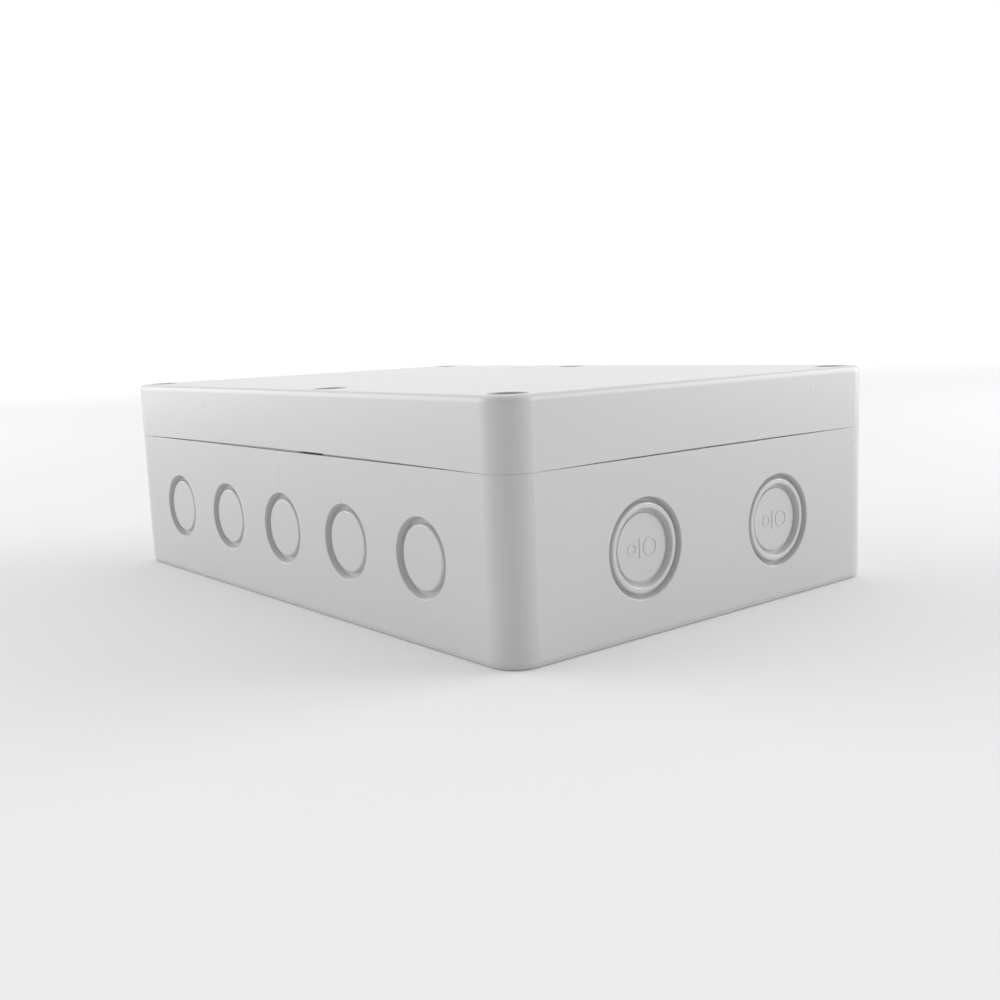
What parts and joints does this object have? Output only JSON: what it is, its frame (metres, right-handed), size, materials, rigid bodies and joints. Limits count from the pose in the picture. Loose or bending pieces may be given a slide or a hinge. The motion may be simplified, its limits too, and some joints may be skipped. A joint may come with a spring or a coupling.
{
  "type": "whole house surge protector",
  "caption": "Flat grey plastic wall enclosure with break-out cable entries and a screwed lid, holding a surge board with terminals, varistors and fuses.",
  "frame": {"origin": "centre of the mounting face, at the bottom of the enclosure", "axes": "+X along the long side, +Y along the short side, +Z from the mounting face to the lid"},
  "size_m": [0.2, 0.137, 0.061],
  "materials": {
    "shell": "moulded light grey, half gloss",
    "gasket": "soft closed-cell seal",
    "board": "green solder mask over glass laminate",
    "zinc_steel": "bright zinc plate",
    "clamp_steel": "yellow zinc plate",
    "tinned_copper": "tinned copper",
    "tinned_wire": "tinned wire",
    "nickel_cap": "nickel plate",
    "nylon": "natural nylon",
    "terminal_housing": "dark grey polyamide",
    "varistor_coat": "blue epoxy dip",
    "thermal_case": "cream moulded case",
    "capacitor_case": "ochre moulded case",
    "resistor": "lacquered film resistor",
    "ceramic": "glazed ceramic",
    "led_lens": "tinted clear lens"
  },
  "bodies": {
    "base": {"enclosure_base": "shell", "circuit_board": "board", "board_screws": "zinc_steel", "terminal_block": "terminal_housing", "contact_bars": "tinned_copper", "varistor_leads": "tinned_wire", "small_leads": "tinned_wire", "resistors": "resistor", "fuse_caps": "nickel_cap", "gas_tube": "ceramic", "gas_tube_ends": "nickel_cap", "varistor_1": "varistor_coat", "varistor_2": "varistor_coat", "varistor_3": "varistor_coat", "varistor_4": "varistor_coat", "varistor_5": "varistor_coat", "varistor_6": "varistor_coat", "thermal_fuse_1": "thermal_case", "thermal_fuse_2": "thermal_case", "thermal_fuse_3": "thermal_case", "surge_fuse_1": "ceramic", "surge_fuse_2": "ceramic", "surge_fuse_3": "ceramic", "film_capacitor_1": "capacitor_case", "film_capacitor_2": "capacitor_case", "film_capacitor_3": "capacitor_case", "status_led_1": "led_lens", "status_led_2": "led_lens", "status_led_3": "led_lens"},
    "lid": {"enclosure_lid": "shell", "lid_gasket": "gasket"},
    "retainer_1": {"screw_retainer_1": "nylon"},
    "lid_screw_1": {"lid_screw_1": "zinc_steel"},
    "retainer_2": {"screw_retainer_2": "nylon"},
    "lid_screw_2": {"lid_screw_2": "zinc_steel"},
    "retainer_3": {"screw_retainer_3": "nylon"},
    "lid_screw_3": {"lid_screw_3": "zinc_steel"},
    "retainer_4": {"screw_retainer_4": "nylon"},
    "lid_screw_4": {"lid_screw_4": "zinc_steel"},
    "retainer_5": {"screw_retainer_5": "nylon"},
    "lid_screw_5": {"lid_screw_5": "zinc_steel"},
    "retainer_6": {"screw_retainer_6": "nylon"},
    "lid_screw_6": {"lid_screw_6": "zinc_steel"},
    "terminal_screw_l1": {"terminal_screw_l1": "zinc_steel"},
    "clamp_cage_l1": {"clamp_cage_l1": "clamp_steel"},
    "terminal_screw_l2": {"terminal_screw_l2": "zinc_steel"},
    "clamp_cage_l2": {"clamp_cage_l2": "clamp_steel"},
    "terminal_screw_l3": {"terminal_screw_l3": "zinc_steel"},
    "clamp_cage_l3": {"clamp_cage_l3": "clamp_steel"},
    "terminal_screw_n": {"terminal_screw_n": "zinc_steel"},
    "clamp_cage_n": {"clamp_cage_n": "clamp_steel"},
    "terminal_screw_pe": {"terminal_screw_pe": "zinc_steel"},
    "clamp_cage_pe": {"clamp_cage_pe": "clamp_steel"}
  },
  "joints": [
    {"name": "lid_lift", "type": "slide", "parent": "base", "child": "lid", "axis": [0, 0, 1], "range_m": [0, 0.06]},
    {"name": "lid_screw_rise_1", "type": "slide", "parent": "lid", "child": "retainer_1", "axis": [0, 0, 1], "range_m": [0, 0.0056]},
    {"name": "lid_screw_turn_1", "type": "hinge", "parent": "retainer_1", "child": "lid_screw_1", "pos_m": [0.092, -0.0605, 0.053], "axis": [0, 0, 1], "range_deg": [0, 1440]},
    {"name": "lid_screw_rise_2", "type": "slide", "parent": "lid", "child": "retainer_2", "axis": [0, 0, 1], "range_m": [0, 0.0056]},
    {"name": "lid_screw_turn_2", "type": "hinge", "parent": "retainer_2", "child": "lid_screw_2", "pos_m": [0.092, 0.0605, 0.053], "axis": [0, 0, 1], "range_deg": [0, 1440]},
    {"name": "lid_screw_rise_3", "type": "slide", "parent": "lid", "child": "retainer_3", "axis": [0, 0, 1], "range_m": [0, 0.0056]},
    {"name": "lid_screw_turn_3", "type": "hinge", "parent": "retainer_3", "child": "lid_screw_3", "pos_m": [-0.092, 0.0605, 0.053], "axis": [0, 0, 1], "range_deg": [0, 1440]},
    {"name": "lid_screw_rise_4", "type": "slide", "parent": "lid", "child": "retainer_4", "axis": [0, 0, 1], "range_m": [0, 0.0056]},
    {"name": "lid_screw_turn_4", "type": "hinge", "parent": "retainer_4", "child": "lid_screw_4", "pos_m": [-0.092, -0.0605, 0.053], "axis": [0, 0, 1], "range_deg": [0, 1440]},
    {"name": "lid_screw_rise_5", "type": "slide", "parent": "lid", "child": "retainer_5", "axis": [0, 0, 1], "range_m": [0, 0.0056]},
    {"name": "lid_screw_turn_5", "type": "hinge", "parent": "retainer_5", "child": "lid_screw_5", "pos_m": [0.01675, -0.0605, 0.053], "axis": [0, 0, 1], "range_deg": [0, 1440]},
    {"name": "lid_screw_rise_6", "type": "slide", "parent": "lid", "child": "retainer_6", "axis": [0, 0, 1], "range_m": [0, 0.0056]},
    {"name": "lid_screw_turn_6", "type": "hinge", "parent": "retainer_6", "child": "lid_screw_6", "pos_m": [-0.01675, 0.0605, 0.053], "axis": [0, 0, 1], "range_deg": [0, 1440]},
    {"name": "terminal_turn_l1", "type": "hinge", "parent": "base", "child": "terminal_screw_l1", "pos_m": [-0.026, -0.03, 0.034], "axis": [0, 0, 1], "range_deg": [-2520, 0]},
    {"name": "clamp_rise_l1", "type": "slide", "parent": "base", "child": "clamp_cage_l1", "axis": [0, 0, 1], "range_m": [0, 0.0049]},
    {"name": "terminal_turn_l2", "type": "hinge", "parent": "base", "child": "terminal_screw_l2", "pos_m": [-0.013, -0.03, 0.034], "axis": [0, 0, 1], "range_deg": [-2520, 0]},
    {"name": "clamp_rise_l2", "type": "slide", "parent": "base", "child": "clamp_cage_l2", "axis": [0, 0, 1], "range_m": [0, 0.0049]},
    {"name": "terminal_turn_l3", "type": "hinge", "parent": "base", "child": "terminal_screw_l3", "pos_m": [0, -0.03, 0.034], "axis": [0, 0, 1], "range_deg": [-2520, 0]},
    {"name": "clamp_rise_l3", "type": "slide", "parent": "base", "child": "clamp_cage_l3", "axis": [0, 0, 1], "range_m": [0, 0.0049]},
    {"name": "terminal_turn_n", "type": "hinge", "parent": "base", "child": "terminal_screw_n", "pos_m": [0.013, -0.03, 0.034], "axis": [0, 0, 1], "range_deg": [-2520, 0]},
    {"name": "clamp_rise_n", "type": "slide", "parent": "base", "child": "clamp_cage_n", "axis": [0, 0, 1], "range_m": [0, 0.0049]},
    {"name": "terminal_turn_pe", "type": "hinge", "parent": "base", "child": "terminal_screw_pe", "pos_m": [0.026, -0.03, 0.034], "axis": [0, 0, 1], "range_deg": [-2520, 0]},
    {"name": "clamp_rise_pe", "type": "slide", "parent": "base", "child": "clamp_cage_pe", "axis": [0, 0, 1], "range_m": [0, 0.0049]}
  ],
  "couplings": [
    {"joint": "lid_screw_turn_1", "follows": "lid_screw_rise_1", "rad_per_m": 4488},
    {"joint": "lid_screw_turn_2", "follows": "lid_screw_rise_2", "rad_per_m": 4488},
    {"joint": "lid_screw_turn_3", "follows": "lid_screw_rise_3", "rad_per_m": 4488},
    {"joint": "lid_screw_turn_4", "follows": "lid_screw_rise_4", "rad_per_m": 4488},
    {"joint": "lid_screw_turn_5", "follows": "lid_screw_rise_5", "rad_per_m": 4488},
    {"joint": "lid_screw_turn_6", "follows": "lid_screw_rise_6", "rad_per_m": 4488},
    {"joint": "terminal_turn_l1", "follows": "clamp_rise_l1", "rad_per_m": -8976},
    {"joint": "terminal_turn_l2", "follows": "clamp_rise_l2", "rad_per_m": -8976},
    {"joint": "terminal_turn_l3", "follows": "clamp_rise_l3", "rad_per_m": -8976},
    {"joint": "terminal_turn_n", "follows": "clamp_rise_n", "rad_per_m": -8976},
    {"joint": "terminal_turn_pe", "follows": "clamp_rise_pe", "rad_per_m": -8976}
  ]
}
